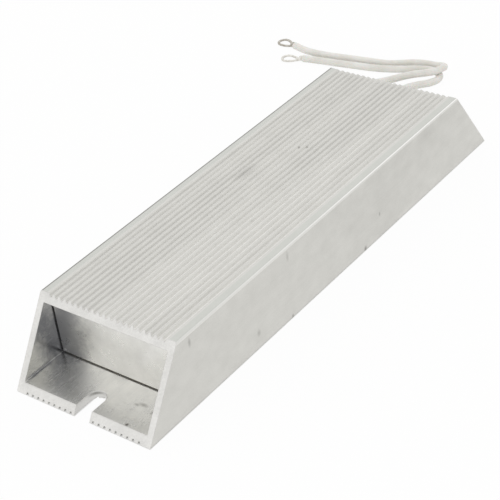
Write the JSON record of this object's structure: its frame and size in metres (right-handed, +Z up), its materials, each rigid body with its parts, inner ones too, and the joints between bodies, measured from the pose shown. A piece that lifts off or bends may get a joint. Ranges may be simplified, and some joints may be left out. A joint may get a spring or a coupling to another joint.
{
  "type": "power resistor",
  "caption": "Power resistor in a ribbed aluminium extrusion with mitred open ends, open slots in its base for mounting screws, and sleeved leads with ring terminals.",
  "frame": {"origin": "middle of the mounting face, on the plane of its lands", "axes": "+Y along the extrusion from the plain end to the end with the leads, +X to the right when looking along +Y, +Z up from the mounting face to the ribs"},
  "size_m": [0.1302, 0.2613, 0.03],
  "materials": {
    "extrusion": "satin extruded and brushed, sawn at the mitred ends",
    "plate": "matte rolled sheet",
    "cement": "matte fired cement",
    "ceramic": "unglazed ceramic",
    "ribbon": "dull resistance alloy",
    "tinned_steel": "tinned",
    "tinned_copper": "tin plated copper",
    "copper_strand": "bare stranded copper",
    "mica": "pressed mica",
    "sleeve": "white silicone and glass-fibre sleeve"
  },
  "bodies": {
    "root": {"housing": "extrusion", "front_end_plate": "plate", "rear_end_plate": "plate", "cement_filling": "cement", "core_left": "ceramic", "core_right": "ceramic", "winding_left": "ribbon", "winding_right": "ribbon", "front_clip_left": "tinned_steel", "front_clip_right": "tinned_steel", "rear_clip_left": "tinned_steel", "rear_clip_right": "tinned_steel", "link_strip": "tinned_steel", "ferrule_left": "tinned_copper", "ferrule_right": "tinned_copper", "strand_left": "copper_strand", "strand_right": "copper_strand", "mica_sheet_top": "mica", "mica_sheet_bottom": "mica", "lead_left": "sleeve", "lead_right": "sleeve", "ring_terminal_left": "tinned_copper", "ring_terminal_right": "tinned_copper"}
  },
  "joints": []
}
